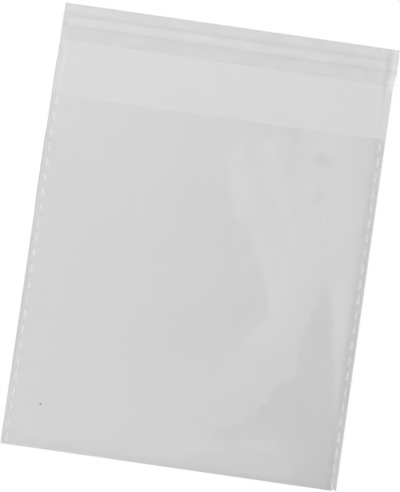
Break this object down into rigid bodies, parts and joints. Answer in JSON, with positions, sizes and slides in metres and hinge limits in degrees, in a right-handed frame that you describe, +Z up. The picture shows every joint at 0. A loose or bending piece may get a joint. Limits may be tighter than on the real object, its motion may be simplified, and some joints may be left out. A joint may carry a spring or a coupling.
{
  "type": "self-seal film bag",
  "caption": "Flat clear film bag with hot-knife welded sides and an open self-seal flap that carries an adhesive stripe under a peel-off liner.",
  "frame": {"origin": "middle of the outline, on the underside of the back panel, with the flap lying open", "axes": "+X across the width to the right, +Y from the bottom fold to the free end of the flap, +Z up from the surface the bag lies on"},
  "size_m": [0.1305, 0.171, 0.0016],
  "materials": {
    "film": "clear cast film, glossy, slightly hazy",
    "adhesive": "clear tacky adhesive",
    "liner": "clear release film, glossy"
  },
  "bodies": {
    "root": {"film_bag": "film", "adhesive_strip": "adhesive", "release_liner": "liner"}
  },
  "joints": []
}
